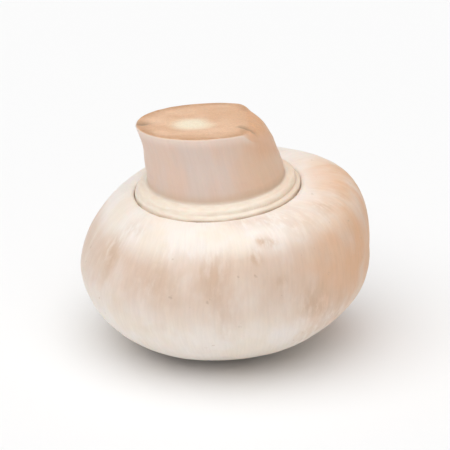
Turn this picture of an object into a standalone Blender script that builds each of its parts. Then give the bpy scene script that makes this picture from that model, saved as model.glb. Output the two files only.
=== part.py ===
"""Closed button mushroom, picked and trimmed, standing on its crown with the cut stem up.

Metres, +Z up. The origin lies under the middle of the mushroom, on the surface it rests on.
The mushroom is first turned about its own axis, with the crown's tip at height 0. It is then
given its grown shape, leaned over, and trimmed by three straight cuts.
"""

from math import atan2, cos, pi, radians, sin, tan

import bpy
from mathutils import Matrix, Vector

# Heights are measured along the mushroom's own axis from the tip of its crown.
CAP_RADIUS = 0.0230
EQUATOR_HEIGHT = 0.0153
CROWN_FULLNESS = 2.08
SHOULDER_HEIGHT = 0.0271
SHOULDER_FULLNESS = 2.10

MARGIN_RADIUS = 0.0140
MARGIN_CREASE_RADIUS = 0.0132
MARGIN_CREASE_DEPTH = 0.0007

VEIL_TOP_RADIUS = 0.0111
VEIL_TOP_HEIGHT = 0.0287
VEIL_BULGE = 0.0004

STEM_RADIUS = 0.0109
STEM_WAIST = 0.0003
STEM_FLARE = 0.0002
STEM_CUT_HEIGHT = 0.0386
STEM_SPARE = 0.0050

# How the grown shape strays from a turned one. Shares are of the radius or of the height.
CAP_OVAL = 0.013
CAP_LOBES = 0.006
CAP_LOBE_COUNT = 3
CAP_LOBE_TURN = radians(70)
CAP_TALLER_RIGHT = 0.16
CAP_TALLER_BACK = 0.05
SHOULDER_SHIFT_RIGHT = 0.0015
STEM_SHIFT_LEFT = 0.0005
STEM_LEAN_LEFT = radians(8)
STEM_LEAN_START = 0.0040

# The whole mushroom leans to the left as it stands.
LEAN_LEFT = radians(3.8)

# The knife's cut across the stem, and the slanting break on the stem's right side.
CUT_SHIFT_LEFT = 0.0017
CUT_TILT_BACK = radians(7)
CUT_TILT_RIGHT = radians(1.7)
BREAK_SLOPE = radians(26)
BREAK_TURN = radians(-2)
BREAK_OFFSET = 0.0060

CROWN_FLAT_DEPTH = 0.0006
KNIFE_SIZE = 0.080

SEGMENTS = 64
CROWN_ROWS = 13
SHOULDER_ROWS = 11
MARGIN_ROWS = 3
VEIL_ROWS = 4
STEM_ROWS = 9
MERGE_DISTANCE = 0.00001
SHARP_ANGLE = radians(40)

FLESH_COLOUR = (0.79, 0.66, 0.56, 1.0)
FLESH_ROUGHNESS = 0.55


def clear_scene():
    """Remove every object and collection that the file opened with."""
    for scene_object in list(bpy.data.objects):
        bpy.data.objects.remove(scene_object, do_unlink=True)
    for collection in list(bpy.data.collections):
        bpy.data.collections.remove(collection)


def new_collection(name):
    """Make a collection in the scene."""
    collection = bpy.data.collections.new(name)
    bpy.context.scene.collection.children.link(collection)
    return collection


def flesh_material():
    """Pale, slightly pink mushroom flesh with a matte skin."""
    material = bpy.data.materials.new("mushroom_flesh")
    material.use_nodes = True
    shader = material.node_tree.nodes["Principled BSDF"]
    shader.inputs["Base Color"].default_value = FLESH_COLOUR
    shader.inputs["Roughness"].default_value = FLESH_ROUGHNESS
    shader.inputs["Metallic"].default_value = 0.0
    material.diffuse_color = FLESH_COLOUR
    return material


def stem_outline():
    """Radius and height down the stem, flared at its end and a little narrower at its waist."""
    top = STEM_CUT_HEIGHT + STEM_SPARE
    points = [(0.0, top)]
    for row in range(STEM_ROWS):
        share = row / STEM_ROWS
        height = top + (VEIL_TOP_HEIGHT - top) * share
        waist = STEM_WAIST * sin(pi * share)
        flare = STEM_FLARE * (1 - share) ** 2
        points.append((STEM_RADIUS + flare - waist, height))
    return points


def veil_outline():
    """The band of veil that slopes from the stem down to the crease at the cap's margin."""
    crease_height = SHOULDER_HEIGHT - MARGIN_CREASE_DEPTH
    points = []
    for row in range(VEIL_ROWS + 1):
        share = row / VEIL_ROWS
        radius = VEIL_TOP_RADIUS + (MARGIN_CREASE_RADIUS - VEIL_TOP_RADIUS) * share
        height = VEIL_TOP_HEIGHT + (crease_height - VEIL_TOP_HEIGHT) * share
        bulge = VEIL_BULGE * sin(pi * share)
        points.append((radius + bulge, height + bulge))
    return points


def margin_outline():
    """The rounded lip of the cap's margin, from the crease up on to the shoulder."""
    points = []
    for row in range(1, MARGIN_ROWS):
        angle = pi / 2 * row / MARGIN_ROWS
        radius = MARGIN_RADIUS - (MARGIN_RADIUS - MARGIN_CREASE_RADIUS) * cos(angle)
        height = SHOULDER_HEIGHT - MARGIN_CREASE_DEPTH * (1 - sin(angle))
        points.append((radius, height))
    return points


def shoulder_outline():
    """The cap's rolled shoulder, from the margin out and down to the widest ring."""
    width = CAP_RADIUS - MARGIN_RADIUS
    drop = SHOULDER_HEIGHT - EQUATOR_HEIGHT
    points = []
    for row in range(SHOULDER_ROWS):
        angle = pi / 2 * row / SHOULDER_ROWS
        radius = MARGIN_RADIUS + width * sin(angle) ** (2 / SHOULDER_FULLNESS)
        height = EQUATOR_HEIGHT + drop * cos(angle) ** (2 / SHOULDER_FULLNESS)
        points.append((radius, height))
    return points


def crown_outline():
    """The cap's dome, from the widest ring down to the tip of the crown."""
    points = []
    for row in range(CROWN_ROWS):
        angle = pi / 2 * row / CROWN_ROWS
        radius = CAP_RADIUS * cos(angle) ** (2 / CROWN_FULLNESS)
        height = EQUATOR_HEIGHT * (1 - sin(angle) ** (2 / CROWN_FULLNESS))
        points.append((radius, height))
    points.append((0.0, 0.0))
    return points


def turned_mushroom(collection):
    """Turn the outline about the mushroom's axis, and return the closed mesh as an object."""
    outline = stem_outline() + veil_outline() + margin_outline() + shoulder_outline() + crown_outline()
    profile_mesh = bpy.data.meshes.new("mushroom_profile")
    edges = [(start, start + 1) for start in range(len(outline) - 1)]
    profile_mesh.from_pydata([(radius, 0.0, height) for radius, height in outline], edges, [])
    profile = bpy.data.objects.new("mushroom_profile", profile_mesh)
    collection.objects.link(profile)

    screw = profile.modifiers.new("Turn", "SCREW")
    screw.steps = SEGMENTS
    screw.render_steps = SEGMENTS
    screw.use_merge_vertices = True
    screw.merge_threshold = MERGE_DISTANCE
    turned = profile.evaluated_get(bpy.context.evaluated_depsgraph_get())
    turned_mesh = bpy.data.meshes.new_from_object(turned)
    bpy.data.objects.remove(profile, do_unlink=True)

    mushroom = bpy.data.objects.new("mushroom", turned_mesh)
    mushroom.data.name = "mushroom"
    collection.objects.link(mushroom)
    return mushroom


def smooth_step(share):
    """Rise smoothly from 0 to 1 as share goes from 0 to 1."""
    share = min(max(share, 0.0), 1.0)
    return share * share * (3 - 2 * share)


def grown(point):
    """Move a turned point to where it grew: an oval, lobed cap, fuller on its right, and a leaning stem."""
    across = point.x / CAP_RADIUS
    back = point.y / CAP_RADIUS
    radius_share = point.xy.length / CAP_RADIUS
    angle = atan2(point.y, point.x)
    lobes = CAP_LOBES * radius_share ** 2 * cos(CAP_LOBE_COUNT * angle + CAP_LOBE_TURN)
    stretch = 1 + CAP_OVAL * (across ** 2 - back ** 2) + lobes

    above_equator = max(point.z - EQUATOR_HEIGHT, 0.0)
    upper_share = min(above_equator / (SHOULDER_HEIGHT - EQUATOR_HEIGHT), 1.0)
    cap_share = smooth_step((point.xy.length - VEIL_TOP_RADIUS) / (CAP_RADIUS - VEIL_TOP_RADIUS))
    taller = above_equator * cap_share * (CAP_TALLER_RIGHT * across + CAP_TALLER_BACK * back)
    shift = upper_share * (SHOULDER_SHIFT_RIGHT * cap_share - STEM_SHIFT_LEFT * (1 - cap_share))
    stem_rise = max(point.z - VEIL_TOP_HEIGHT, 0.0)
    lean = tan(STEM_LEAN_LEFT) * stem_rise * smooth_step(stem_rise / STEM_LEAN_START)
    return Vector((point.x * stretch + shift - lean, point.y * stretch, point.z + taller))


def lean_and_rest(mushroom):
    """Lean the mushroom, sink the flat of its crown to height 0 and centre it, and return the move."""
    lean = Matrix.Rotation(-LEAN_LEFT, 4, "Y")
    places = [lean @ grown(vertex.co) for vertex in mushroom.data.vertices]
    middle_x = (min(place.x for place in places) + max(place.x for place in places)) / 2
    middle_y = (min(place.y for place in places) + max(place.y for place in places)) / 2
    lowest = min(place.z for place in places)
    shift = Vector((-middle_x, -middle_y, -lowest - CROWN_FLAT_DEPTH))
    for vertex, place in zip(mushroom.data.vertices, places):
        vertex.co = place + shift
    mushroom.data.update()
    return Matrix.Translation(shift) @ lean


def add_knife(name, mushroom, collection, place):
    """Cut away what lies above the plane z = 0 of place."""
    bpy.ops.mesh.primitive_cube_add(size=KNIFE_SIZE)
    knife = bpy.context.object
    knife.name = name
    for owner in list(knife.users_collection):
        owner.objects.unlink(knife)
    collection.objects.link(knife)
    knife.data.transform(Matrix.Translation((0.0, 0.0, KNIFE_SIZE / 2)))
    knife.matrix_world = place
    knife.hide_render = True
    knife.display_type = "WIRE"

    cut = mushroom.modifiers.new(name, "BOOLEAN")
    cut.operation = "DIFFERENCE"
    cut.solver = "EXACT"
    cut.object = knife


def trim(mushroom, collection, stance):
    """Cut the stem across, break its right side away, and flatten the crown where it rests."""
    cut_middle = Matrix.Translation((-CUT_SHIFT_LEFT, 0.0, STEM_CUT_HEIGHT))
    cut_tilt = Matrix.Rotation(CUT_TILT_RIGHT, 4, "Y") @ Matrix.Rotation(-CUT_TILT_BACK, 4, "X")
    cut_place = stance @ cut_middle @ cut_tilt
    add_knife("stem_cut_knife", mushroom, collection, cut_place)

    break_edge = Matrix.Translation((BREAK_OFFSET, 0.0, 0.0))
    break_slope = Matrix.Rotation(BREAK_TURN, 4, "Z") @ Matrix.Rotation(BREAK_SLOPE, 4, "Y")
    add_knife("stem_break_knife", mushroom, collection, cut_place @ break_edge @ break_slope)

    add_knife("crown_rest_knife", mushroom, collection, Matrix.Rotation(pi, 4, "X"))


def main():
    """Build the mushroom."""
    clear_scene()
    parts = new_collection("button_mushroom")
    cutters = new_collection("cutters")
    mushroom = turned_mushroom(parts)
    stance = lean_and_rest(mushroom)
    mushroom.data.shade_smooth()
    mushroom.data.set_sharp_from_angle(angle=SHARP_ANGLE)
    mushroom.data.materials.append(flesh_material())
    trim(mushroom, cutters, stance)


main()
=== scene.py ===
"""The looks of a closed button mushroom that stands on its crown, with its cut stem up.

The mushroom is one piece, so it has one skin: a grid of rings that runs from the middle of the
cut, over the rim, down the stem, across the veil and round the cap to the crown's tip. The skin
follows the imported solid's own outline and adds the relief that the solid leaves out.
Lengths are in millimetres until the finished skin is put in the frame, which is in metres.
"""

from functools import lru_cache, reduce
from math import atan2, cos, exp, pi, prod, radians, sin, sqrt, tan

import bpy
from mathutils import Matrix, Vector, noise
from mathutils.geometry import intersect_point_line


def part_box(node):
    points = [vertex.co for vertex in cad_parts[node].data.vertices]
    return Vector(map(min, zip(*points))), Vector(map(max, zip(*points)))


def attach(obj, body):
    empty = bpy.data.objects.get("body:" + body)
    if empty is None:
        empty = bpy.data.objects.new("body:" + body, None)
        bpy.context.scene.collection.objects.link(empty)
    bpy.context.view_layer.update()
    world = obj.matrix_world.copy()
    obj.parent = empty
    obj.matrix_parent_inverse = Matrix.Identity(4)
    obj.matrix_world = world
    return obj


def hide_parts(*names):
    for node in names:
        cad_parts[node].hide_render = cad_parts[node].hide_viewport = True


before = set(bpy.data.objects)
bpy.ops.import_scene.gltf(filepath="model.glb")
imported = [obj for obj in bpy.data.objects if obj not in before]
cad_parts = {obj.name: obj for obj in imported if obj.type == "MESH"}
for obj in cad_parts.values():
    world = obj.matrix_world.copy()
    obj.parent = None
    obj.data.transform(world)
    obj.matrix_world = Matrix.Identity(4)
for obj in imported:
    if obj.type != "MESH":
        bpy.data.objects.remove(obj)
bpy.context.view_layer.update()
SOLID_LOW, SOLID_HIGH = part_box("mushroom")
GROUND = Vector(((SOLID_LOW.x + SOLID_HIGH.x) / 2, (SOLID_LOW.y + SOLID_HIGH.y) / 2, SOLID_LOW.z))

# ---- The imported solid's outline. Its width sets how long a millimetre is in the frame. Heights are
# ---- above the crown's tip, along the mushroom's axis.
SOLID_WIDTH = 46.5
MM = (SOLID_HIGH.x - SOLID_LOW.x) / SOLID_WIDTH

CAP_RADIUS = 23.0
EQUATOR_HEIGHT = 15.3
CAP_MIDDLE = Vector((0.0, 0.0, EQUATOR_HEIGHT))
CROWN_FULLNESS = 2.08
SHOULDER_HEIGHT = 27.1
SHOULDER_FULLNESS = 2.10
CROWN_FLAT_DEPTH = 0.6

MARGIN_RADIUS = 14.0
CREASE_RADIUS = 13.2
CREASE_HEIGHT = 26.4
VEIL_TOP_RADIUS = 11.1
VEIL_TOP_HEIGHT = 28.7
VEIL_BULGE = 0.4

STEM_RADIUS = 10.9
STEM_WAIST = 0.3
STEM_FLARE = 0.2
STEM_CUT_HEIGHT = 38.6
STEM_FULL_HEIGHT = 43.6

# How the grown shape strays from a turned one.
CAP_OVAL = 0.013
CAP_LOBES = 0.006
CAP_LOBE_COUNT = 3
CAP_LOBE_TURN = radians(70)
CAP_TALLER_RIGHT = 0.16
CAP_TALLER_BACK = 0.05
SHOULDER_SHIFT_RIGHT = 1.5
STEM_SHIFT_LEFT = 0.5
STEM_LEAN_LEFT = radians(8)
STEM_LEAN_START = 4.0
LEAN_LEFT = radians(3.8)

# The knife's cut, and the break that slopes and curves away on the right of it.
CUT_SHIFT_LEFT = 1.7
CUT_TILT_BACK = radians(7)
CUT_TILT_RIGHT = radians(1.7)
BREAK_OFFSET = 6.0
BREAK_EASE = 0.6
BREAK_SLOPE = 0.12
BREAK_CURVE = 0.085

# ---- The skin's grid. A ring's columns are halved while it is smaller than this share of its part's
# ---- full size, down to one column in so many.
COLUMNS = 384
SMALL_RING = 0.5
MOST_HALVED = 16
ROWS = {"cut": 56, "rim": 8, "stem": 36, "veil": 26, "lip": 12, "shoulder": 52, "crown": 66}

# ---- Edges. The rim is rounded more where the break is, and the stem is nipped in under it. The
# ---- cap's margin is a thin ragged lip, a little undercut, that reaches in to just short of the crease.
RIM_TRIES = 8
RIM_ROUND = 0.28
BREAK_RIM_ROUND = 1.5
BREAK_RIM_FADE = 2.0
STEM_NIP = 0.32
STEM_NIP_HEIGHT = 35.6
STEM_NIP_REACH = 2.6
LIP_REACH = 0.76
LIP_NOTCHES = 0.22
LIP_THICKNESS = 0.45
LIP_UNDERCUT = radians(20)

# Each layer of notches in the lip: its strength, its swings in a whole turn and its seed.
LIP_NOISE = ((1.0, 30, 0.0), (0.6, 90, 3.0))

# How near the ground the edge of the crown's flat begins to round.
SETTLE_REACH = 0.2

# ---- Relief. A layer of swells is its height and its swings in a millimetre. A layer of fibres has
# ---- also how many times it is drawn out along them. A GRAIN is its swings in a millimetre, and a TURN
# ---- its swings in a whole turn, each with the seed that sets it apart. FADES are explained at faded().
SWELLS = ((0.22, 0.09), (0.06, 0.25))
CAP_FIBRES = ((0.024, 0.42, 9.0), (0.012, 0.75, 7.0))
STEM_FIBRES = ((0.12, 0.28, 6.0), (0.030, 0.8, 12.0), (0.016, 1.5, 9.0))
CROWN_TIP_FADES = ((0.6, 1.0),)
PIT_DEPTH = 0.24
PIT_GRAIN = (0.55, 9.0)
PIT_RARITY = 0.42

# Ridges round the veil: their height, their place between the stem and the crease, and their width, as
# shares. They are uneven, so they are higher on one side. Wrinkles are longer round the veil.
VEIL_RIDGES = ((0.16, 0.34, 0.16), (-0.15, 0.60, 0.07), (0.14, 0.80, 0.10))
VEIL_RIDGES_HIGHEST = radians(10)
VEIL_RIDGES_UNEVEN = 0.6
VEIL_RIDGES_WANDER = 0.07
VEIL_RIDGES_TURN = (9, 2.0)
VEIL_WRINKLES = 0.07
VEIL_WRINKLES_LONGER = 4
VEIL_WRINKLES_COUNT = 9
VEIL_RELIEF_FADES = ((0.1, 0.0), (0.9, 1.0))

# Faint rings round the foot of the stem: their height, how far they are above the veil, and their
# width. They come and go round the stem.
STEM_RINGS = ((0.04, 1.5, 0.35), (-0.03, 2.2, 0.35), (0.03, 3.0, 0.45))
STEM_RINGS_SHOWN = 0.5
STEM_RINGS_BROKEN = 2
STEM_RINGS_TURN = (4, 5.0)
STEM_RELIEF_FADES = ((0.05, 0.0), (0.92, 1.0))

# The stem's end: the knife's dish and scores, and the tears of the break, which also mark the stem's
# side. Each layer of tears is its strength, its swings in a millimetre and its seed.
CUT_DISH = 0.18
SCORE_HEIGHT = 0.030
SCORES_FINER = 6.0
SCORE_GRAIN = (0.22, 3.0)
TEAR_HEIGHT = 0.20
TEARS_FINER = 2.0
TEAR_LAYERS = ((1.0, 0.28, 12.0), (0.4, 0.8, 5.0))
TORN_REACH = 1.4
TORN_SIDE_REACH = 2.8
TORN_SIDE_WANDER = 1.5
TORN_SIDE_GRAIN = (0.3, 2.0)
TORN_SIDE_FADES = ((0.0, 0.5),)

# Marks on the cut. Places are to the right and to the back of its middle. The pale pith, partly a
# painted highlight, is palest within the first radius and gone beyond the second.
PITH_MIDDLE = Vector((-1.9, -1.2))
PITH_PALEST_RADIUS = 1.485
PITH_RADIUS = 4.455
PITH_WANDER = 0.6
PITH_GRAIN = (0.32, 8.0)
CRACK_START = Vector((5.6, -3.3))
CRACK_END = Vector((8.7, -5.9))
CRACK_DEPTH = 0.45
CRACK_WIDTH = 0.46
CRACK_WANDER = 0.25
CRACK_GRAIN = (0.9, 4.0)
CRACK_FADES = ((0.18, -0.12), (0.55, 1.05))
NICK = Vector((-9.7, -0.1))
NICK_DEPTH = 0.35
NICK_WIDTH = 1.2

# ---- Marks. Stains on the standing cap: the place to the right, to the back and up from the ground
# ---- under the middle, then the stain's half width, its half height and its strength.
STAINS = (
    (-17.9, -11.1, 20.0, 2.6, 4.5, 0.50),
    (-11.0, -19.4, 17.9, 4.5, 3.2, 0.30),
    (-1.5, -21.6, 20.2, 2.6, 4.2, 0.42),
    (0.0, -22.5, 12.6, 1.8, 4.0, 0.25),
    (-6.0, -19.7, 21.9, 7.0, 1.8, 0.18),
    (6.2, -18.2, 25.0, 1.3, 0.8, 0.85),
    (4.1, -20.1, 23.2, 1.5, 0.9, 0.75),
    (8.8, -20.7, 19.2, 1.7, 1.1, 0.45),
    (13.5, -18.0, 14.3, 2.8, 2.8, 0.60),
    (17.0, -13.5, 11.5, 3.8, 3.5, 0.50),
    (13.0, -15.0, 7.5, 3.5, 2.5, 0.40),
    (15.7, -9.1, 27.1, 1.9, 1.2, 0.45),
    (11.5, -14.0, 26.0, 3.4, 2.0, 0.38),
    (6.5, -14.0, 27.6, 3.5, 1.4, 0.30),
    (1.5, -15.0, 27.5, 4.0, 1.2, 0.22),
    (17.5, -5.0, 26.0, 4.0, 3.0, 0.25),
    (-13.6, -10.8, 24.4, 2.0, 1.1, 0.45),
    (-11.5, -19.2, 10.5, 3.2, 1.2, 0.15),
    (21.0, 5.0, 17.0, 3.5, 4.5, 0.45),
    (12.0, 18.5, 20.0, 4.0, 2.4, 0.40),
    (-3.0, 21.5, 16.5, 2.2, 4.5, 0.45),
    (-16.5, 13.5, 19.0, 3.0, 3.0, 0.50),
)

# How far the stains' outlines wander, their swings in a millimetre, and a seed for each direction.
STAIN_WANDER = 1.3
STAIN_FINENESS = 1 / 3
STAIN_SEEDS = (11.3, 23.7, 37.1)

# The warm band round the belly, partly the skin's own warm tone and partly painted shade below the lit
# shoulder. Its top rises to the right, as far out as the slope reaches.
BELLY_TOP = 24.8
BELLY_TOP_SLOPE = 0.15
BELLY_SLOPE_REACH = 10.0
BELLY_BOTTOM = 9.0
BELLY_FADE_UP = 3.5
BELLY_FADE_DOWN = 9.0

# The tan that deepens to the right, partly the skin's own tan and partly painted shade and painted warm
# reflection: where it starts and where it is full, on each part. Each layer of its wander is how far the
# edges stray and the swings in a millimetre. It fades to the back and down to the foot.
CAP_TAN_AND_REFLECTION_REACH = (10.0, 21.5)
VEIL_TAN_AND_REFLECTION_REACH = (3.0, 15.0)
STEM_TAN_AND_REFLECTION_REACH = (-4.5, 6.0)
CUT_TAN_AND_REFLECTION_REACH = (-3.5, 4.5)
TAN_AND_REFLECTION_WANDER = ((5.0, 0.07), (2.2, 0.22))
TAN_AND_REFLECTION_SEED = 6.0
TAN_AND_REFLECTION_BACK_START = 6.0
TAN_AND_REFLECTION_BACK_FADE = 11.0
TAN_AND_REFLECTION_BACK_LOSS = 0.75
TAN_AND_REFLECTION_FOOT = 1.0
TAN_AND_REFLECTION_FOOT_FADE = 7.0

# The skins and the lines where they meet, by the parts they lie on. NO_FADES covers the whole part. The
# veil's skin runs on under the stem's, and the stem's under the cut's. The bark is the stem's fibrous
# side, the edge is the cut's browned edge, the fresh skin is the pale skin under the rim with a painted
# highlight along it, the collar is the stem's tan foot with painted shade where it meets the veil, and
# the crease is painted shade under the cap's lip.
NO_FADES = ()
SKIN_FADES = {
    "veil": {"cut": NO_FADES, "rim": NO_FADES, "stem": NO_FADES, "veil": NO_FADES, "lip": ((0.0, 0.4545),)},
    "stem": {"cut": NO_FADES, "rim": NO_FADES, "stem": ((0.95, 1.0),)},
    "cut": {"cut": NO_FADES, "rim": ((0.0, 0.7692),)},
    "bark": {"stem": ((0.06, 0.0), (0.95, 1.0))},
    "edge": {"cut": ((1.0, 0.80),), "rim": ((0.0, 0.80),)},
    "fresh_and_highlight": {"rim": NO_FADES, "stem": ((0.0, 0.16),)},
    "collar_and_shade": {"stem": ((1.0, 0.80),), "veil": ((0.0, 0.24),)},
    "crease_shade": {"veil": ((1.0, 0.72),), "lip": ((0.0, 0.95),)},
}


def smooth_step(share):
    """Rise smoothly from 0 to 1 as share goes from 0 to 1."""
    share = min(max(share, 0.0), 1.0)
    return share * share * (3 - 2 * share)


def faded(share, fades):
    """All the fades multiplied together, each given as the share where it is 1 and where it is 0."""
    return prod((smooth_step((share - gone) / (full - gone)) for full, gone in fades), start=1.0)


def bell(offset, width):
    """1 in the middle, falling to about a third at width."""
    return exp(-((offset / width) ** 2))


def grain(place, fineness, seed=0.0):
    """Smooth noise from -1 to 1, with about fineness swings in a millimetre."""
    return noise.noise(place * fineness + Vector((seed, 2 * seed, -seed)))


def around(turn, swings, seed=0.0):
    """Noise that depends on the turn alone, with about that many swings in a whole turn."""
    reach = swings / (2 * pi)
    return noise.noise(Vector((reach * cos(turn), reach * sin(turn), seed)))


# ---------------------------------------------------------------- the grown shape


def grown(point):
    """Move a turned point to where it grew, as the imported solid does."""
    across = point.x / CAP_RADIUS
    back = point.y / CAP_RADIUS
    radius_share = point.xy.length / CAP_RADIUS
    turn = atan2(point.y, point.x)
    lobes = CAP_LOBES * radius_share ** 2 * cos(CAP_LOBE_COUNT * turn + CAP_LOBE_TURN)
    stretch = 1 + CAP_OVAL * (across ** 2 - back ** 2) + lobes

    above_equator = max(point.z - EQUATOR_HEIGHT, 0.0)
    upper_share = min(above_equator / (SHOULDER_HEIGHT - EQUATOR_HEIGHT), 1.0)
    cap_share = smooth_step((point.xy.length - VEIL_TOP_RADIUS) / (CAP_RADIUS - VEIL_TOP_RADIUS))
    taller = above_equator * cap_share * (CAP_TALLER_RIGHT * across + CAP_TALLER_BACK * back)
    shift = upper_share * (SHOULDER_SHIFT_RIGHT * cap_share - STEM_SHIFT_LEFT * (1 - cap_share))
    stem_rise = max(point.z - VEIL_TOP_HEIGHT, 0.0)
    lean = tan(STEM_LEAN_LEFT) * stem_rise * smooth_step(stem_rise / STEM_LEAN_START)
    return Vector((point.x * stretch + shift - lean, point.y * stretch, point.z + taller))


def turned(radius, height, turn):
    """The grown place of a point on the turned outline."""
    return grown(Vector((radius * cos(turn), radius * sin(turn), height)))


def stem_wall(height, turn):
    """A place on the stem's side."""
    share = (STEM_FULL_HEIGHT - height) / (STEM_FULL_HEIGHT - VEIL_TOP_HEIGHT)
    radius = STEM_RADIUS + STEM_FLARE * (1 - share) ** 2 - STEM_WAIST * sin(pi * share)
    radius -= STEM_NIP * bell(height - STEM_NIP_HEIGHT, STEM_NIP_REACH)
    return turned(radius, height, turn)


# ---------------------------------------------------------------- the cut end of the stem

CUT_MIDDLE = Vector((-CUT_SHIFT_LEFT, 0.0, STEM_CUT_HEIGHT))
CUT_TILT = Matrix.Rotation(CUT_TILT_RIGHT, 3, "Y") @ Matrix.Rotation(-CUT_TILT_BACK, 3, "X")


def on_cut(place):
    """Where a place lies from the middle of the cut: to the right, to the back and above."""
    return CUT_TILT.transposed() @ (place - CUT_MIDDLE)


def past_break(place):
    """How far a place lies past the edge where the break begins, easing in from 0."""
    past = on_cut(Vector((place.x, place.y, STEM_CUT_HEIGHT))).x - BREAK_OFFSET
    return (past + sqrt(past * past + BREAK_EASE * BREAK_EASE)) / 2


def top_height(place):
    """Height of the stem's cut and broken end above or below a place."""
    facing = CUT_TILT @ Vector((0.0, 0.0, 1.0))
    across = (place - CUT_MIDDLE).xy.dot(facing.xy)
    past = past_break(place)
    return STEM_CUT_HEIGHT - across / facing.z - BREAK_SLOPE * past - BREAK_CURVE * past * past


@lru_cache(maxsize=None)
def rim(turn):
    """The rim's place at this turn, found by closing in on it, and the radius that rounds it there."""
    height = STEM_CUT_HEIGHT
    for _ in range(RIM_TRIES):
        place = stem_wall(height, turn)
        height += top_height(place) - place.z
    on_break = smooth_step(past_break(place) / BREAK_RIM_FADE)
    return place, RIM_ROUND + (BREAK_RIM_ROUND - RIM_ROUND) * on_break


def end_place(edge, inwards, down):
    """A place on the stem's end, so far inwards from its edge and so far below the end's face."""
    spoke = (edge - CUT_MIDDLE).xy
    inside = CUT_MIDDLE.xy + spoke * (1 - inwards / spoke.length)
    place = Vector((inside.x, inside.y, 0.0))
    place.z = top_height(place) - down
    return place


# ---------------------------------------------------------------- places on the skin, by part


def cut_place(share, turn):
    """The end's face, from its middle out to where the rim begins to round."""
    edge, rounding = rim(turn)
    reach = (edge - CUT_MIDDLE).xy.length
    return end_place(edge, reach - (reach - rounding) * share, 0.0)


def rim_place(share, turn):
    """The rounded rim, which ends flush with the stem's side."""
    edge, rounding = rim(turn)
    angle = pi / 2 * share
    down = rounding * (1 - cos(angle))
    side = stem_wall(edge.z - down, turn)
    return end_place(side, rounding * (1 - sin(angle)), down)


def stem_place(share, turn):
    """The stem's side, from the rim down to the veil."""
    edge, rounding = rim(turn)
    top = edge.z - rounding
    return stem_wall(top + (VEIL_TOP_HEIGHT - top) * share, turn)


def veil_place(share, turn):
    """The veil, from the stem out and down to the crease."""
    bulge = VEIL_BULGE * sin(pi * share)
    radius = VEIL_TOP_RADIUS + (CREASE_RADIUS - VEIL_TOP_RADIUS) * share + bulge
    height = VEIL_TOP_HEIGHT + (CREASE_HEIGHT - VEIL_TOP_HEIGHT) * share + bulge
    return turned(radius, height, turn)


def lip_place(share, turn):
    """The cap's margin: a thin ragged lip, from under its edge up on to the shoulder."""
    angle = (pi / 2 + LIP_UNDERCUT) * share - LIP_UNDERCUT
    ragged = sum(strength * around(turn, swings, seed) for strength, swings, seed in LIP_NOISE)
    reach = LIP_REACH - LIP_NOTCHES * max(ragged, 0.0)
    radius = MARGIN_RADIUS - reach * cos(angle)
    height = SHOULDER_HEIGHT - LIP_THICKNESS * (1 - sin(angle))
    return turned(radius, height, turn)


def shoulder_place(share, turn):
    """The cap's rolled shoulder, from the margin out and down to the widest ring."""
    angle = pi / 2 * share
    width = CAP_RADIUS - MARGIN_RADIUS
    drop = SHOULDER_HEIGHT - EQUATOR_HEIGHT
    radius = MARGIN_RADIUS + width * sin(angle) ** (2 / SHOULDER_FULLNESS)
    height = EQUATOR_HEIGHT + drop * cos(angle) ** (2 / SHOULDER_FULLNESS)
    return turned(radius, height, turn)


def crown_place(share, turn):
    """The cap's dome, from the widest ring down to the tip of the crown."""
    angle = pi / 2 * share
    radius = CAP_RADIUS * max(cos(angle), 0.0) ** (2 / CROWN_FULLNESS)
    height = EQUATOR_HEIGHT * (1 - sin(angle) ** (2 / CROWN_FULLNESS))
    return turned(radius, height, turn)


PLACES = {
    "cut": cut_place,
    "rim": rim_place,
    "stem": stem_place,
    "veil": veil_place,
    "lip": lip_place,
    "shoulder": shoulder_place,
    "crown": crown_place,
}


# ---------------------------------------------------------------- relief of each spot

END_PARTS = ("cut", "rim")
STEM_PARTS = ("cut", "rim", "stem")


class Spot:
    """One vertex of the skin: where it is on its part, its grown place, and its place along the fibres.

    The share runs from 0 to 1 down the part, and the run is how far down the skin the vertex lies.
    """

    def __init__(self, part, share, turn, run):
        self.part = part
        self.share = share
        self.turn = turn
        self.place = PLACES[part](share, turn)
        self.on_cut = on_cut(self.place)
        radius = STEM_RADIUS if part in STEM_PARTS else CAP_RADIUS
        self.silk = Vector((radius * cos(turn), radius * sin(turn), run))


def swollen(place):
    """A place moved away from the cap's middle by the slow swells of the whole mushroom."""
    rise = sum(height * grain(place, fineness) for height, fineness in SWELLS)
    return place + rise * (place - CAP_MIDDLE).normalized()


def fibres(spot, layers):
    """Grain that is drawn out along the fibres, which run over the cap and up the stem."""
    rises = []
    for rise, fineness, stretch in layers:
        drawn_out = Vector((spot.silk.x, spot.silk.y, spot.silk.z / stretch))
        rises.append(rise * grain(drawn_out, fineness, stretch))
    return sum(rises)


def drawn(spot):
    """How far the fibres show. They fade out at the crown's tip, where they would all meet."""
    return faded(spot.share, CROWN_TIP_FADES) if spot.part == "crown" else 1.0


def cap_relief(spot):
    """Silky fibres and shallow pits in the cap's skin."""
    pits = PIT_DEPTH * max(grain(spot.place, *PIT_GRAIN) - PIT_RARITY, 0.0)
    return drawn(spot) * fibres(spot, CAP_FIBRES) - pits


def stem_relief(spot):
    """Fibres that run up the stem, and faint rings round its foot."""
    above_veil = spot.place.z - VEIL_TOP_HEIGHT
    rings = sum(rise * bell(above_veil - height, width) for rise, height, width in STEM_RINGS)
    ring_share = smooth_step(STEM_RINGS_SHOWN + STEM_RINGS_BROKEN * around(spot.turn, *STEM_RINGS_TURN))
    return (fibres(spot, STEM_FIBRES) + ring_share * rings) * faded(spot.share, STEM_RELIEF_FADES)


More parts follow.
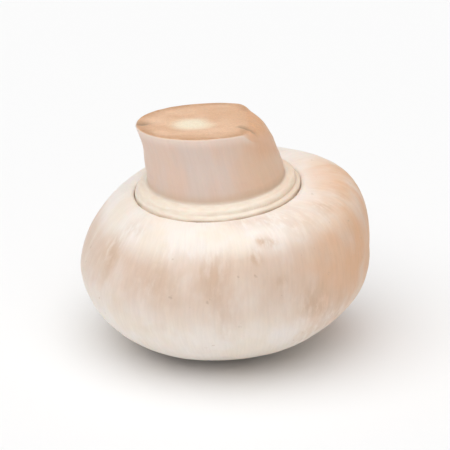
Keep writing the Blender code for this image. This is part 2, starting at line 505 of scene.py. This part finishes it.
def veil_relief(spot):
    """Soft ridges that run round the veil, highest on the right, over fine wrinkles."""
    wander = VEIL_RIDGES_WANDER * around(spot.turn, *VEIL_RIDGES_TURN)
    strength = 1 + VEIL_RIDGES_UNEVEN * cos(spot.turn - VEIL_RIDGES_HIGHEST)
    ridges = sum(rise * bell(spot.share - wander - at, width) for rise, at, width in VEIL_RIDGES)
    wrinkled = spot.silk / VEIL_WRINKLES_LONGER
    wrinkled.z = VEIL_WRINKLES_COUNT * spot.share
    rises = strength * ridges + VEIL_WRINKLES * grain(wrinkled, 1.0)
    return rises * faded(spot.share, VEIL_RELIEF_FADES)


def lip_relief(_):
    """None, because the lip is too thin to carry any."""
    return 0.0


def broken(spot):
    """1 on the broken side of the stem's end, 0 on the knife's cut."""
    return smooth_step((spot.on_cut.x - BREAK_OFFSET) / TORN_REACH)


def crack(spot):
    """1 in the crack at the front of the break, falling to 0 beside it and towards its ends."""
    nearest, share = intersect_point_line(spot.on_cut.xy, CRACK_START, CRACK_END)
    wander = CRACK_WANDER * grain(spot.place, *CRACK_GRAIN)
    return faded(share, CRACK_FADES) * bell((spot.on_cut.xy - nearest).length - wander, CRACK_WIDTH)


def nick(spot):
    """1 in the nick at the left end of the cut, falling to 0 beside it."""
    return bell((spot.on_cut.xy - NICK).length, NICK_WIDTH)


def end_relief(spot):
    """The stem's end: dished and scored where the knife cut it, rough where it broke."""
    out = spot.on_cut.xy.length / STEM_RADIUS
    dish = CUT_DISH * (1 - smooth_step(out))
    scored = Vector((spot.on_cut.x, SCORES_FINER * spot.on_cut.y, 0.0))
    scores = SCORE_HEIGHT * (1 - broken(spot)) * grain(scored, *SCORE_GRAIN)
    combed = Vector((spot.on_cut.x, TEARS_FINER * spot.on_cut.y, 0.0))
    ragged = sum(strength * grain(combed, fineness, seed) for strength, fineness, seed in TEAR_LAYERS)
    tears = TEAR_HEIGHT * broken(spot) * ragged
    rises = scores + tears - dish - CRACK_DEPTH * crack(spot) - NICK_DEPTH * nick(spot)
    return rises * (1 - smooth_step(spot.share)) if spot.part == "rim" else rises


RELIEFS = {
    "cut": end_relief,
    "rim": end_relief,
    "stem": stem_relief,
    "veil": veil_relief,
    "lip": lip_relief,
    "shoulder": cap_relief,
    "crown": cap_relief,
}


# ---------------------------------------------------------------- masks, for the material


# Where the tan with painted shade and reflection on the right starts and is full, on each part.
TAN_AND_REFLECTION_REACHES = {
    "cut": CUT_TAN_AND_REFLECTION_REACH,
    "rim": CUT_TAN_AND_REFLECTION_REACH,
    "stem": STEM_TAN_AND_REFLECTION_REACH,
    "veil": VEIL_TAN_AND_REFLECTION_REACH,
}


def stain(standing):
    """How stained the cap is at a standing place. The stains' outlines wander."""
    strays = Vector([grain(standing, STAIN_FINENESS, seed) for seed in STAIN_SEEDS])
    wandering = standing + STAIN_WANDER * strays
    total = 0.0
    for right, back, up, half_width, half_height, strength in STAINS:
        off = wandering - Vector((right, back, up))
        total += strength * bell(off.xy.length, half_width) * bell(off.z, half_height)
    return min(total, 1.0)


def belly_warmth_and_shade(standing):
    """The warm band round the cap's widest ring, partly painted shade below the lit shoulder. It starts under
    the shoulder, higher on the right.
    """
    top = BELLY_TOP + BELLY_TOP_SLOPE * max(min(standing.x, BELLY_SLOPE_REACH), -BELLY_SLOPE_REACH)
    above = smooth_step((top - standing.z) / BELLY_FADE_UP)
    return above * smooth_step((standing.z - BELLY_BOTTOM) / BELLY_FADE_DOWN)


def skin_masks(spot):
    """Which skin covers a spot, and the lines where skins meet, where shade and a highlight are painted."""
    masks = {}
    for name, fades_by_part in SKIN_FADES.items():
        covered = spot.part in fades_by_part
        masks[name] = faded(spot.share, fades_by_part[spot.part]) if covered else 0.0
    return masks


def tan_and_reflection_share(spot, standing):
    """The tan that deepens to the right, partly painted shade and painted reflection, and fades to the back
    and at the foot. Its edges wander.
    """
    start, full = TAN_AND_REFLECTION_REACHES.get(spot.part, CAP_TAN_AND_REFLECTION_REACH)
    wander = sum(reach * grain(standing, fineness, TAN_AND_REFLECTION_SEED) for reach, fineness in TAN_AND_REFLECTION_WANDER)
    deep = smooth_step((standing.x + wander - start) / (full - start))
    lost = TAN_AND_REFLECTION_BACK_LOSS * smooth_step((standing.y + wander - TAN_AND_REFLECTION_BACK_START) / TAN_AND_REFLECTION_BACK_FADE)
    above_foot = smooth_step((standing.z + wander - TAN_AND_REFLECTION_FOOT) / TAN_AND_REFLECTION_FOOT_FADE)
    return deep * (1 - lost) * above_foot


def torn(spot):
    """The torn flesh of the break, which fades out down the stem's side."""
    if spot.part != "stem":
        return broken(spot) if spot.part in END_PARTS else 0.0
    wandering = spot.on_cut.x + TORN_SIDE_WANDER * grain(spot.place, *TORN_SIDE_GRAIN)
    past = smooth_step((wandering - BREAK_OFFSET) / TORN_SIDE_REACH)
    return past * faded(spot.share, TORN_SIDE_FADES)


def pith_and_highlight(spot):
    """The pale pith in the middle of the cut, partly a painted highlight."""
    off = (spot.on_cut.xy - PITH_MIDDLE).length + PITH_WANDER * grain(spot.place, *PITH_GRAIN)
    return smooth_step((PITH_RADIUS - off) / (PITH_RADIUS - PITH_PALEST_RADIUS))


def mark_masks(spot, standing):
    """The marks and stains that show at a spot, with the painted shade, highlight and reflection among them.
    """
    on_end = float(spot.part in END_PARTS)
    return {
        "pith_and_highlight": on_end * pith_and_highlight(spot),
        "torn": torn(spot),
        # The crack and the nick carry painted shade in the material.
        "crack": on_end * sqrt(crack(spot)),
        "nick": on_end * nick(spot),
        "stain": 0.0 if spot.part in STEM_PARTS else stain(standing),
        "belly_warmth_and_shade": belly_warmth_and_shade(standing),
        "tan_and_reflection": tan_and_reflection_share(spot, standing),
        "drawn": drawn(spot),
    }


# ---------------------------------------------------------------- the skin's mesh


def ring_steps():
    """The part and share of each ring, from the middle of the cut to the tip of the crown."""
    for part, rows in ROWS.items():
        for row in range(rows):
            yield part, row / rows
    yield "crown", 1.0


def ring_columns(part, share):
    """The columns that a ring has: fewer where it is small, and one at either pole."""
    size = {"cut": share, "crown": cos(pi / 2 * share)}.get(part, 1.0)
    if share == 1.0 or size == 0.0:
        return [0]
    step = 1
    while size * step < SMALL_RING and step < MOST_HALVED:
        step *= 2
    return range(0, COLUMNS, step)


def skin_rings():
    """The skin's spots, ring by ring."""
    rings = []
    run = 0.0
    for part, share in ring_steps():
        if rings:
            run += (PLACES[part](share, 0.0) - rings[-1][0].place).length
        columns = ring_columns(part, share)
        rings.append([Spot(part, share, 2 * pi * column / COLUMNS, run) for column in columns])
    return rings


def ring_faces(upper, lower):
    """Faces between two rings of vertex numbers, where one may have twice the other's columns."""
    count = max(len(upper), len(lower))
    for column in range(count):
        above = [upper[(column + step) * len(upper) // count % len(upper)] for step in (0, 1)]
        below = [lower[(column + step) * len(lower) // count % len(lower)] for step in (0, 1)]
        yield list(dict.fromkeys([above[0], below[0], below[1], above[1]]))


def skin_faces(rings):
    """The faces of the whole skin, which number its spots ring by ring."""
    numbered = []
    first = 0
    for ring in rings:
        numbered.append(range(first, first + len(ring)))
        first += len(ring)
    return [face for upper, lower in zip(numbered, numbered[1:]) for face in ring_faces(upper, lower)]


def settled(place):
    """Keep a place from sinking below the ground. The quarter gives the flat an edge without a crease."""
    nearness = max(SETTLE_REACH - abs(place.z), 0.0) / SETTLE_REACH
    return Vector((place.x, place.y, max(place.z, 0.0) + SETTLE_REACH / 4 * nearness ** 2))


def stood_up(places):
    """Lean the mushroom and rest it on its crown, over the point of ground under its middle."""
    lean = Matrix.Rotation(-LEAN_LEFT, 3, "Y")
    leaned = [lean @ place for place in places]
    middle_x = (min(place.x for place in leaned) + max(place.x for place in leaned)) / 2
    middle_y = (min(place.y for place in leaned) + max(place.y for place in leaned)) / 2
    lowest = min(place.z for place in leaned)
    shift = Vector((-middle_x, -middle_y, -lowest - CROWN_FLAT_DEPTH))
    return [settled(place + shift) for place in leaned]


def store(mesh, name, values):
    """Store a number or a vector for each vertex."""
    if isinstance(values[0], Vector):
        layer = mesh.attributes.new(name, "FLOAT_VECTOR", "POINT")
        layer.data.foreach_set("vector", [number for vector in values for number in vector])
    else:
        layer = mesh.attributes.new(name, "FLOAT", "POINT")
        layer.data.foreach_set("value", values)


def store_looks(mesh, spots, standing):
    """Store what the material reads: the standing places, the places along the fibres and the masks."""
    store(mesh, "place", standing)
    store(mesh, "silk", [spot.silk for spot in spots])
    masks = [skin_masks(spot) | mark_masks(spot, place) for spot, place in zip(spots, standing)]
    for name in masks[0]:
        store(mesh, name, [mask[name] for mask in masks])


def add_object(name, data):
    """Add an object to the scene."""
    added = bpy.data.objects.new(name, data)
    bpy.context.scene.collection.objects.link(added)
    return added


def mushroom_skin():
    """Make the mushroom's skin as one closed mesh, with its relief and its masks."""
    rings = skin_rings()
    spots = [spot for ring in rings for spot in ring]
    mesh = bpy.data.meshes.new("button_mushroom")
    mesh.from_pydata([swollen(spot.place) for spot in spots], [], skin_faces(rings))

    raised = []
    for spot, vertex in zip(spots, mesh.vertices):
        raised.append(vertex.co + vertex.normal * RELIEFS[spot.part](spot))
    standing = stood_up(raised)
    for vertex, place in zip(mesh.vertices, standing):
        vertex.co = GROUND + place * MM

    store_looks(mesh, spots, standing)
    mesh.shade_smooth()
    mesh.update()
    return add_object("button_mushroom", mesh)


# ---------------------------------------------------------------- materials

# The Mix node has a set of sockets for each type of value. These are the ones for colours.
MIX_COLOUR_INPUTS = (0, 6, 7)
MIX_COLOUR_OUTPUT = 2


class Shading:
    """The nodes of one material. Each call adds a node or two and returns their output."""

    def __init__(self, name):
        self.material = bpy.data.materials.new(name)
        self.material.use_nodes = True
        self.tree = self.material.node_tree
        self.shader = self.tree.nodes["Principled BSDF"]

    def plug(self, socket, value):
        """Link an output to a socket, or set the socket to a plain value."""
        if isinstance(value, bpy.types.NodeSocket):
            self.tree.links.new(value, socket)
        else:
            socket.default_value = value

    def attribute(self, name, output):
        """What the mesh stores under a name, as a number (Fac) or as a Vector."""
        node = self.tree.nodes.new("ShaderNodeAttribute")
        node.attribute_name = name
        return node.outputs[output]

    def mask(self, name):
        """One of the masks that the mesh stores."""
        return self.attribute(name, "Fac")

    def place(self, right=1.0):
        """The standing place in millimetres, scaled to the right."""
        return self.vector_math("MULTIPLY", self.attribute("place", "Vector"), (right, 1.0, 1.0))

    def silk(self, along, across=1.0):
        """The place in millimetres, scaled along the fibres and across them."""
        return self.vector_math("MULTIPLY", self.attribute("silk", "Vector"), (across, across, along))

    def vector_math(self, operation, first, second):
        """Arithmetic on two vectors."""
        node = self.tree.nodes.new("ShaderNodeVectorMath")
        node.operation = operation
        self.plug(node.inputs[0], first)
        self.plug(node.inputs[1], second)
        return node.outputs["Vector"]

    def math(self, operation, first, second):
        """Arithmetic on two numbers."""
        node = self.tree.nodes.new("ShaderNodeMath")
        node.operation = operation
        self.plug(node.inputs[0], first)
        self.plug(node.inputs[1], second)
        return node.outputs["Value"]

    def noise(self, vector, fineness, detail=3.0, roughness=0.5):
        """Cloudy noise from 0 to 1, with about fineness swings in a millimetre."""
        node = self.tree.nodes.new("ShaderNodeTexNoise")
        self.plug(node.inputs["Vector"], vector)
        self.plug(node.inputs["Scale"], fineness)
        self.plug(node.inputs["Detail"], detail)
        self.plug(node.inputs["Roughness"], roughness)
        return node.outputs["Fac"]

    def ramp(self, value, low, high, start=0.0, end=1.0):
        """Go smoothly from start to end while value goes from low to high."""
        node = self.tree.nodes.new("ShaderNodeMapRange")
        node.interpolation_type = "SMOOTHSTEP"
        self.plug(node.inputs["Value"], value)
        self.plug(node.inputs["From Min"], low)
        self.plug(node.inputs["From Max"], high)
        self.plug(node.inputs["To Min"], start)
        self.plug(node.inputs["To Max"], end)
        return node.outputs["Result"]

    def patches(self, vector, fineness, low, high, start=0.0, end=1.0, detail=3.0, roughness=0.5):
        """Patches of noise that go from start to end between its low and its high level."""
        return self.ramp(self.noise(vector, fineness, detail, roughness), low, high, start, end)

    def product(self, *shares):
        """Multiply numbers together."""
        return reduce(lambda first, second: self.math("MULTIPLY", first, second), shares)

    def total(self, *heights):
        """Add numbers together."""
        return reduce(lambda first, second: self.math("ADD", first, second), heights)

    def cover(self, under, over, *shares, strength=1.0):
        """Lay one colour over another, as strongly as the shares and the strength multiplied."""
        node = self.tree.nodes.new("ShaderNodeMix")
        node.data_type = "RGBA"
        factor, first, second = (node.inputs[number] for number in MIX_COLOUR_INPUTS)
        self.plug(factor, self.product(*shares, strength))
        self.plug(first, under)
        self.plug(second, over)
        return node.outputs[MIX_COLOUR_OUTPUT]

    def shaded(self, colour, brightness):
        """A colour made darker or lighter."""
        node = self.tree.nodes.new("ShaderNodeVectorMath")
        node.operation = "SCALE"
        self.plug(node.inputs["Vector"], colour)
        self.plug(node.inputs["Scale"], brightness)
        return node.outputs["Vector"]


# Heights of the fine bumps and the depth that light reaches, in millimetres.
SILK_BUMP = 0.045
GRAIN_BUMP = 0.030
BARK_BUMP = 0.075
PORE_BUMP = 0.11
SUBSURFACE_DEPTH = 1.2

# How far red, green and blue light go, as shares of that depth.
SUBSURFACE_REACH = (1.0, 0.6, 0.4)
SUBSURFACE_WEIGHT = 0.35
SKIN_ROUGHNESS = (0.46, 0.60)

# Colours in linear light.
PALE = (0.93, 0.85, 0.785, 1.0)
CREAM = (0.91, 0.81, 0.71, 1.0)
# Painted shade below the lit shoulder, over the skin's warm tone.
WARM_AND_SHADE = (0.735, 0.55, 0.43, 1.0)
# Painted shade and warm reflection on the cap's right side, over its own tan.
RIGHT_TAN_AND_REFLECTION = (0.80, 0.455, 0.245, 1.0)
STAIN_TAN = (0.60, 0.385, 0.235, 1.0)
FRECKLE = (0.46, 0.32, 0.22, 1.0)
VEIL_CREAM = (0.96, 0.85, 0.73, 1.0)
VEIL_TAN = (0.92, 0.79, 0.665, 1.0)
# Painted shade and warm reflection on the veil's right side.
VEIL_TAN_AND_REFLECTION = (0.86, 0.64, 0.47, 1.0)
# Painted shade in the crease under the cap's lip.
CREASE_SHADE_BROWN = (0.42, 0.31, 0.23, 1.0)
# The stem's tan foot, with painted shade where it meets the veil.
COLLAR_TAN_AND_SHADE = (0.70, 0.51, 0.37, 1.0)
STEM_GREY = (0.78, 0.63, 0.55, 1.0)
STEM_PINK = (0.81, 0.605, 0.495, 1.0)
# Painted shade and warm reflection on the stem's right side, over its own tan.
STEM_TAN_AND_REFLECTION = (0.80, 0.545, 0.375, 1.0)
# Pale fresh skin under the rim, with a painted highlight along the rounded rim.
STEM_FRESH_AND_HIGHLIGHT = (0.90, 0.75, 0.66, 1.0)
CUT_PEACH = (0.92, 0.62, 0.42, 1.0)
CUT_ORANGE = (0.76, 0.46, 0.28, 1.0)
CUT_BROWN = (0.60, 0.34, 0.19, 1.0)
# The pale pith, partly a painted highlight on the cut.
PITH_CREAM_AND_HIGHLIGHT = (1.0, 0.84, 0.64, 1.0)
TORN_TAN = (0.78, 0.45, 0.26, 1.0)
# Painted shade in the nick and the crack.
NICK_AND_CRACK_SHADE = (0.33, 0.22, 0.14, 1.0)


def cap_colour(flesh):
    """Near-white skin, warm round the belly with painted shade below the lit shoulder, tan on the right with
    painted shade and reflection, and stained here and there.
    """
    creamy = flesh.patches(flesh.place(), fineness=0.13, low=0.42, high=0.62)
    streaks = flesh.patches(flesh.silk(along=0.45), fineness=0.30, low=0.25, high=0.62, start=0.60)
    tan_and_reflection_clouds = flesh.patches(flesh.silk(along=0.70), fineness=0.20, low=0.28, high=0.62, start=0.45, detail=4.0)
    blotches = flesh.patches(
        flesh.silk(along=0.5), fineness=0.8, low=0.30, high=0.58, detail=5.0, roughness=0.62
    )
    freckles = flesh.patches(flesh.place(), fineness=0.7, low=0.69, high=0.77)
    silky = flesh.patches(
        flesh.silk(along=0.12), fineness=2.2, low=0.25, high=0.75, start=0.970, end=1.020, roughness=0.6
    )
    colour = flesh.cover(PALE, CREAM, creamy)
    # Painted shade round the belly, below the lit shoulder, over a warm tone.
    colour = flesh.cover(colour, WARM_AND_SHADE, flesh.mask("belly_warmth_and_shade"), streaks, strength=0.85)
    # Painted shade and warm reflection, deepening to the right.
    colour = flesh.cover(colour, RIGHT_TAN_AND_REFLECTION, flesh.mask("tan_and_reflection"), tan_and_reflection_clouds, strength=0.85)
    colour = flesh.cover(colour, STAIN_TAN, flesh.mask("stain"), blotches, strength=0.9)
    colour = flesh.cover(colour, FRECKLE, freckles, strength=0.4)
    return flesh.shaded(colour, silky)


def veil_colour(flesh):
    """Cream in faint rings, tanner on its right side, partly painted shade and reflection."""
    rings = flesh.patches(flesh.silk(along=2.0, across=0.35), fineness=1.0, low=0.3, high=0.7)
    colour = flesh.cover(VEIL_TAN, VEIL_CREAM, rings)
    # Painted shade and warm reflection, deepening to the right.
    return flesh.cover(colour, VEIL_TAN_AND_REFLECTION, flesh.mask("tan_and_reflection"), strength=0.75)


def stem_colour(flesh):
    """Greyish pink, tanner on its right side with painted shade and reflection, tan with painted shade where
    it meets the veil, paler under the rim with a painted highlight.
    """
    pink = flesh.patches(flesh.silk(along=0.8), fineness=0.20, low=0.36, high=0.64)
    fibrous = flesh.patches(
        flesh.silk(along=0.10), fineness=1.8, low=0.25, high=0.75, start=0.975, end=1.015, detail=4.0,
        roughness=0.6,
    )
    colour = flesh.cover(STEM_GREY, STEM_PINK, pink)
    # Painted shade and warm reflection, deepening to the right.
    colour = flesh.cover(colour, STEM_TAN_AND_REFLECTION, flesh.mask("tan_and_reflection"), strength=0.85)
    # Painted highlight along the rounded rim, over the paler fresh skin there.
    colour = flesh.cover(colour, STEM_FRESH_AND_HIGHLIGHT, flesh.mask("fresh_and_highlight"), strength=0.7)
    colour = flesh.cover(colour, TORN_TAN, flesh.mask("torn"), strength=0.8)
    # Painted shade where the stem's foot meets the veil, over a tan tone.
    colour = flesh.cover(colour, COLLAR_TAN_AND_SHADE, flesh.mask("collar_and_shade"), strength=0.8)
    return flesh.shaded(colour, fibrous)


def end_colour(flesh):
    """Cut flesh, peach to orange and more orange on the right with painted reflection, with a pale pith that
    is partly a painted highlight, a browned edge, a tan broken side, and painted shade in the nick and the
    crack.
    """
    drying = flesh.patches(flesh.place(right=0.55), fineness=0.30, low=0.25, high=0.75, detail=4.0)
    browned = flesh.patches(flesh.place(), fineness=0.30, low=0.35, high=0.60, start=0.5)
    pores = flesh.patches(
        flesh.place(), fineness=2.5, low=0.3, high=0.7, start=0.955, end=1.040, detail=4.0
    )
    colour = flesh.cover(CUT_PEACH, CUT_ORANGE, drying)
    # More orange to the right: painted shade and warm reflection over the cut's own orange.
    colour = flesh.cover(colour, CUT_ORANGE, flesh.mask("tan_and_reflection"), strength=0.8)
    # The pale pith, partly a painted highlight.
    colour = flesh.cover(colour, PITH_CREAM_AND_HIGHLIGHT, flesh.mask("pith_and_highlight"))
    colour = flesh.cover(colour, CUT_BROWN, flesh.mask("edge"), browned)
    colour = flesh.cover(colour, TORN_TAN, flesh.mask("torn"), strength=0.9)
    # Painted shade in the nick and the crack.
    colour = flesh.cover(colour, NICK_AND_CRACK_SHADE, flesh.mask("nick"), strength=0.8)
    colour = flesh.cover(colour, NICK_AND_CRACK_SHADE, flesh.mask("crack"), strength=0.9)
    return flesh.shaded(colour, pores)


def skin_height(flesh):
    """Height in millimetres of the relief that is too fine for the mesh."""
    silky = flesh.noise(flesh.silk(along=0.20), fineness=2.2, detail=4.0, roughness=0.6)
    grainy = flesh.noise(flesh.place(), fineness=3.0, detail=4.0, roughness=0.6)
    fibrous = flesh.noise(flesh.silk(along=0.12), fineness=2.0, detail=4.0, roughness=0.6)
    porous = flesh.noise(flesh.place(), fineness=2.6, detail=5.0, roughness=0.7)
    return flesh.total(
        flesh.product(silky, flesh.mask("drawn"), SILK_BUMP),
        flesh.product(grainy, GRAIN_BUMP),
        flesh.product(fibrous, flesh.mask("bark"), BARK_BUMP),
        flesh.product(porous, flesh.mask("cut"), PORE_BUMP),
    )


def flesh_colour(flesh):
    """The colours of the skins, one over another where their masks say."""
    # Patches of painted shade along the crease between the veil and the cap's lip.
    crease_shade_patches = flesh.patches(flesh.place(), fineness=0.25, low=0.35, high=0.65, start=0.10, end=0.65)
    colour = flesh.cover(cap_colour(flesh), veil_colour(flesh), flesh.mask("veil"))
    colour = flesh.cover(colour, CREASE_SHADE_BROWN, flesh.mask("crease_shade"), crease_shade_patches)
    colour = flesh.cover(colour, stem_colour(flesh), flesh.mask("stem"))
    return flesh.cover(colour, end_colour(flesh), flesh.mask("cut"))


def flesh_material():
    """The whole mushroom's skin and flesh: matte, slightly see-through, and finely bumped."""
    flesh = Shading("mushroom_flesh")
    sockets = flesh.shader.inputs
    flesh.plug(sockets["Base Color"], flesh_colour(flesh))

    smoothest, roughest = SKIN_ROUGHNESS
    gloss = flesh.patches(
        flesh.place(), fineness=0.5, low=0.3, high=0.7, start=smoothest, end=roughest
    )
    flesh.plug(sockets["Roughness"], gloss)
    sockets["Subsurface Weight"].default_value = SUBSURFACE_WEIGHT
    sockets["Subsurface Radius"].default_value = SUBSURFACE_REACH
    sockets["Subsurface Scale"].default_value = SUBSURFACE_DEPTH * MM

    bump = flesh.tree.nodes.new("ShaderNodeBump")
    bump.inputs["Distance"].default_value = MM
    flesh.plug(bump.inputs["Height"], skin_height(flesh))
    flesh.plug(sockets["Normal"], bump.outputs["Normal"])
    return flesh.material


# ---------------------------------------------------------------- the studio

# In metres, apart from the lens. The surround is dimmer as a light than it is to look at.
FLOOR_SIZE = 6.0
FLOOR_WHITE = (0.92, 0.92, 0.92, 1.0)
FLOOR_ROUGHNESS = 0.9
SURROUND_WHITE = (1.0, 1.0, 1.0, 1.0)
SURROUND_LIGHT = 0.34
SURROUND_SEEN = 0.93
OVERHEAD_DIRECTION = Vector((-0.12, -0.24, 1.0))
OVERHEAD_SPREAD = radians(80)
OVERHEAD_STRENGTH = 2.35
CAMERA_LENS_MM = 400.0
CAMERA_DISTANCE = 0.80
CAMERA_ELEVATION = radians(24.5)


def floor():
    """A plain pale floor under the mushroom."""
    bpy.ops.mesh.primitive_plane_add(size=FLOOR_SIZE, location=(0.0, 0.0, SOLID_LOW.z))
    plane = bpy.context.object
    plane.name = "floor"
    paint = Shading("floor_paint")
    paint.shader.inputs["Base Color"].default_value = FLOOR_WHITE
    paint.shader.inputs["Roughness"].default_value = FLOOR_ROUGHNESS
    plane.data.materials.append(paint.material)


def surround():
    """A plain surround that is near-white to look at and lights the mushroom softly."""
    world = bpy.data.worlds.new("surround")
    bpy.context.scene.world = world
    world.use_nodes = True
    nodes, links = world.node_tree.nodes, world.node_tree.links
    seen = nodes.new("ShaderNodeLightPath").outputs["Is Camera Ray"]
    strength = nodes.new("ShaderNodeMapRange")
    strength.inputs["To Min"].default_value = SURROUND_LIGHT
    strength.inputs["To Max"].default_value = SURROUND_SEEN
    links.new(seen, strength.inputs["Value"])
    nodes["Background"].inputs["Color"].default_value = SURROUND_WHITE
    links.new(strength.outputs["Result"], nodes["Background"].inputs["Strength"])


def facing(away):
    """The rotation of a light or a camera that looks back along this direction."""
    return (-away).to_track_quat("-Z", "Y").to_euler()


def overhead_light():
    """One broad soft light over the mushroom, a little to the front and left."""
    data = bpy.data.lights.new("overhead", "SUN")
    data.angle = OVERHEAD_SPREAD
    data.energy = OVERHEAD_STRENGTH
    add_object("overhead", data).rotation_euler = facing(OVERHEAD_DIRECTION)


def camera(middle):
    """A long lens that looks down on the mushroom from the front."""
    data = bpy.data.cameras.new("camera")
    data.lens = CAMERA_LENS_MM
    viewer = add_object("camera", data)
    away = Vector((0.0, -cos(CAMERA_ELEVATION), sin(CAMERA_ELEVATION)))
    viewer.location = middle + away * CAMERA_DISTANCE
    viewer.rotation_euler = facing(away)
    bpy.context.scene.camera = viewer


def studio():
    """The floor, the surround, the light and the camera."""
    middle = (SOLID_LOW + SOLID_HIGH) / 2
    floor()
    surround()
    overhead_light()
    camera(middle)
    bpy.context.scene.view_settings.view_transform = "Standard"


skin = mushroom_skin()
skin.data.materials.append(flesh_material())
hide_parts("mushroom")
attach(skin, "root")
studio()
